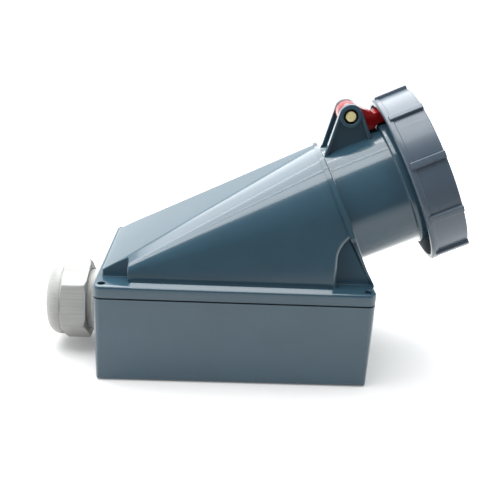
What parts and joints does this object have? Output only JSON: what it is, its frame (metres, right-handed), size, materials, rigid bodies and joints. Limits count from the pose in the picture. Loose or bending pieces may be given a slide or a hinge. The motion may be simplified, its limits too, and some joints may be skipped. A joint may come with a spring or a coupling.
{
  "type": "surface mount pin and sleeve socket",
  "caption": "Angled wall-mounted industrial socket: back box with cable gland, sloped hood, contact sleeves, and a hinged watertight lid held by a bayonet locking ring.",
  "frame": {"origin": "centre of the mounting face, on the wall", "axes": "+Z away from the wall, +X towards the socket's mouth, -Y the side seen in the picture"},
  "size_m": [0.3044, 0.1236, 0.2047],
  "materials": {
    "housing": "gloss",
    "ring": "satin",
    "lid": "gloss",
    "carrier": "matte",
    "gland": "satin",
    "rubber": "matte",
    "steel": "zinc plated",
    "contact": "nickelled",
    "pin_brass": "bright"
  },
  "bodies": {
    "housing": {"back_box": "housing", "box_seal": "rubber", "socket_cover": "housing", "cover_screws": "steel", "contact_carrier": "carrier", "carrier_screws": "steel", "sleeve_l1": "contact", "sleeve_l2": "contact", "sleeve_l3": "contact", "sleeve_neutral": "contact", "sleeve_earth": "contact", "sleeve_pilot": "contact", "terminal_screws": "steel", "hinge_pin": "pin_brass", "gland_washer": "rubber", "gland_body": "gland", "gland_locknut": "gland"},
    "lid": {"lid": "lid", "lid_seal": "rubber"},
    "ring": {"locking_ring": "ring"},
    "gland_bush": {"gland_seal": "rubber"},
    "gland_nut": {"gland_nut": "gland"}
  },
  "joints": [
    {"name": "lid_hinge", "type": "hinge", "parent": "housing", "child": "lid", "pos_m": [0.07412, 0, 0.18414], "axis": [0, -1, 0], "range_deg": [0, 110]},
    {"name": "ring_turn", "type": "hinge", "parent": "lid", "child": "ring", "pos_m": [0.13232, 0, 0.14452], "axis": [0.9063, 0, 0.4226], "range_deg": [-32, 0]},
    {"name": "gland_draw", "type": "slide", "parent": "housing", "child": "gland_bush", "axis": [1, 0, 0], "range_m": [0, 0.002]},
    {"name": "gland_nut_turn", "type": "hinge", "parent": "gland_bush", "child": "gland_nut", "pos_m": [-0.12, 0, 0.0345], "axis": [1, 0, 0], "range_deg": [0, 360]}
  ],
  "couplings": [
    {"joint": "gland_draw", "follows": "gland_nut_turn", "m_per_rad": 0.00031831}
  ]
}
